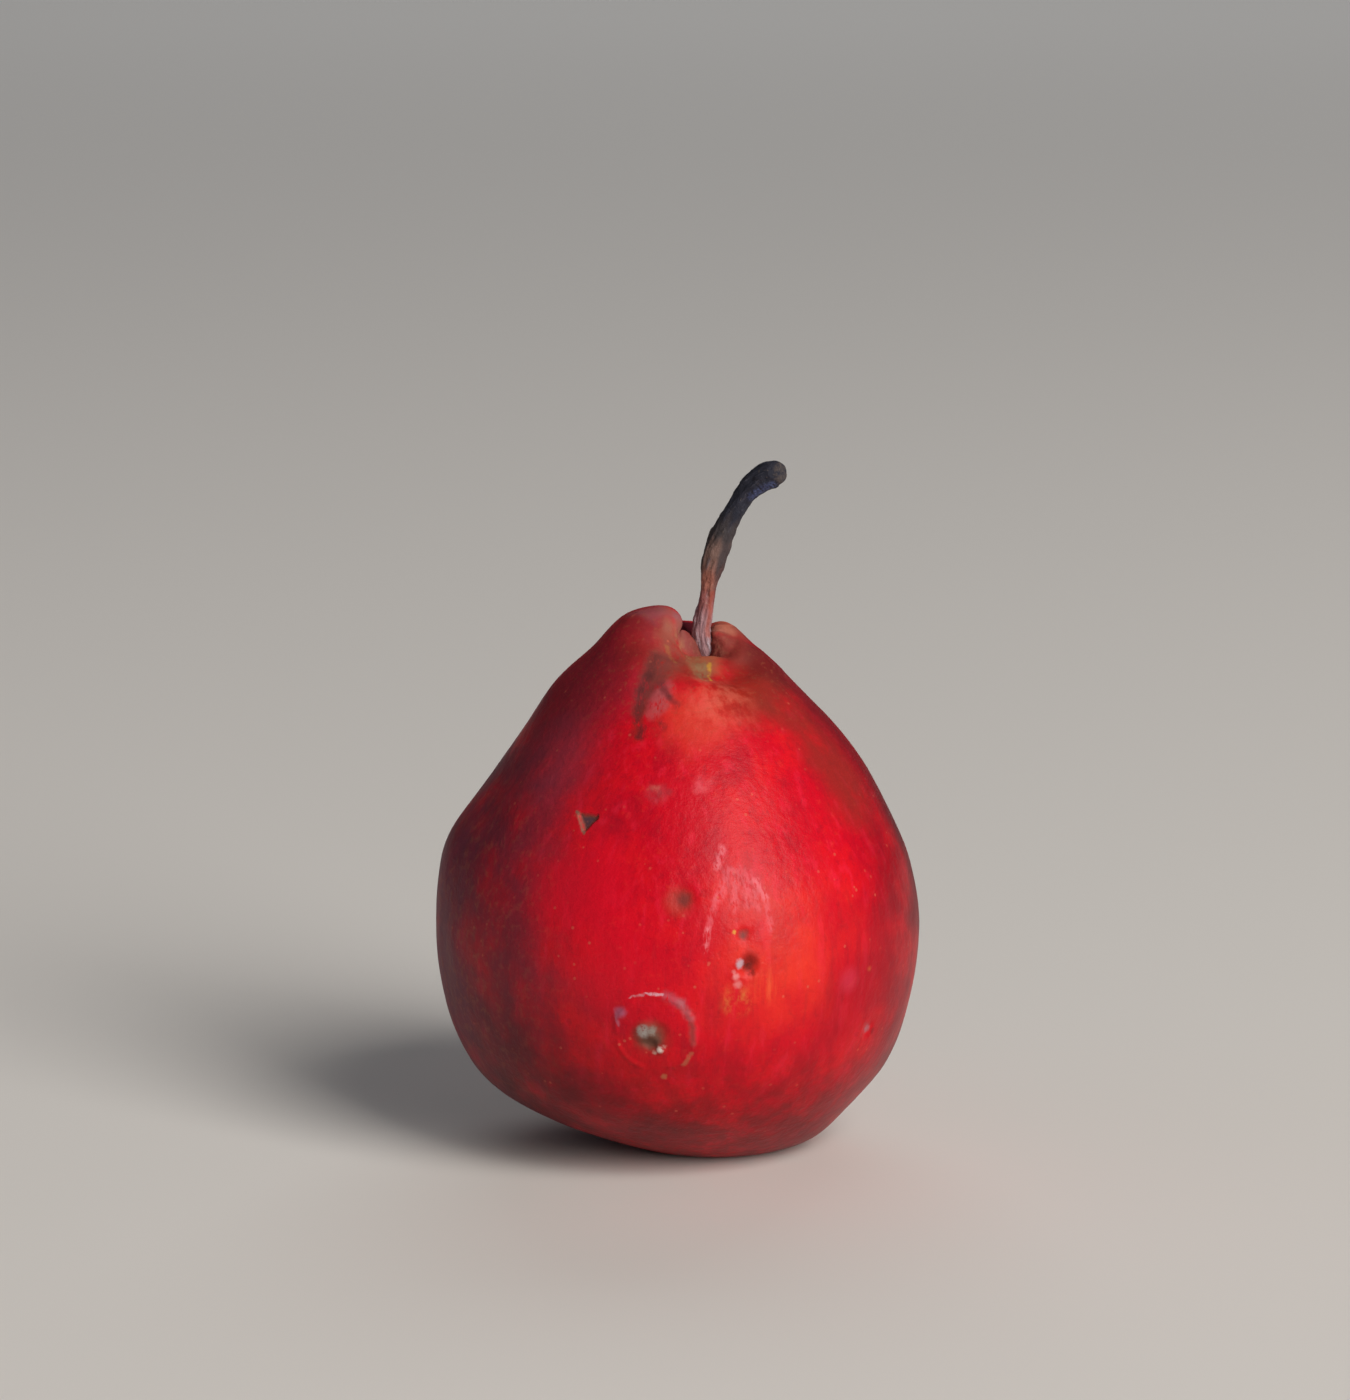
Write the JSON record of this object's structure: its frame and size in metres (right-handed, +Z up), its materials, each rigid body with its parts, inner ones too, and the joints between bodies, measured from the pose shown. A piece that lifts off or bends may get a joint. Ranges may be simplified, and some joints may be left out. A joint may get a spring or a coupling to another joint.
{
  "type": "pear",
  "caption": "Squat red pear standing on its base, with a curved woody stem in the hollow of its crown and a dried calyx in the basin below.",
  "frame": {"origin": "centre of the pear's bounding box in plan, on the surface that it stands on", "axes": "+Z up along the pear's height, -Y out of the side with the scars, +X towards the side that the stem leans to"},
  "size_m": [0.074, 0.074, 0.1054],
  "materials": {
    "skin": "satin waxy skin, crimson, shading to orange and olive round the crown, with russet in the hollow and small scars",
    "stem_bark": "dull bark, pinkish grey at the foot, brown in the middle and near black towards the cut end",
    "dried_calyx": "dull, dry and brittle, dark brown"
  },
  "bodies": {
    "root": {"fruit": "skin", "stem": "stem_bark", "calyx": "dried_calyx"}
  },
  "joints": []
}
